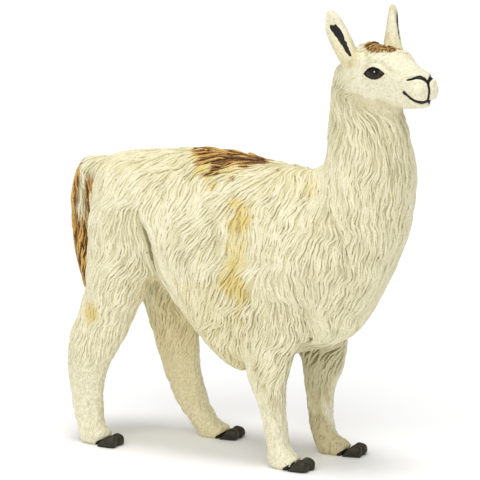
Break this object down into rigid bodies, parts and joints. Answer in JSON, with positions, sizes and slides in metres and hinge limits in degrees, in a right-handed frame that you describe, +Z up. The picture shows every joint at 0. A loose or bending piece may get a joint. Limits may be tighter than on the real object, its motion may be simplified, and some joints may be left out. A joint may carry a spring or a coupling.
{
  "type": "llama figurine",
  "caption": "Standing llama figurine in painted vinyl, woolly cream coat with brown saddle patch and tail, head turned to its right, resting on flat soles",
  "frame": {"origin": "On the floor under the middle of the figure's overall length and width", "axes": "+Z up; the llama faces -Y; +X is its left"},
  "size_m": [0.033, 0.1072, 0.1141],
  "materials": {
    "painted_wool": "matte paint on vinyl",
    "painted_hair": "matte paint on vinyl",
    "painted_tail": "matte paint on vinyl",
    "painted_nail": "satin paint on vinyl",
    "painted_eye": "gloss paint on vinyl"
  },
  "bodies": {
    "root": {"trunk": "painted_wool", "neck": "painted_wool", "head": "painted_hair", "ear_left": "painted_hair", "ear_right": "painted_hair", "eye_left": "painted_eye", "eye_right": "painted_eye", "leg_front_left": "painted_wool", "leg_front_right": "painted_wool", "leg_hind_left": "painted_wool", "leg_hind_right": "painted_wool", "toe_front_left_outer": "painted_nail", "toe_front_left_inner": "painted_nail", "toe_front_right_outer": "painted_nail", "toe_front_right_inner": "painted_nail", "toe_hind_left_outer": "painted_nail", "toe_hind_left_inner": "painted_nail", "toe_hind_right_outer": "painted_nail", "toe_hind_right_inner": "painted_nail", "tail": "painted_tail"}
  },
  "joints": []
}
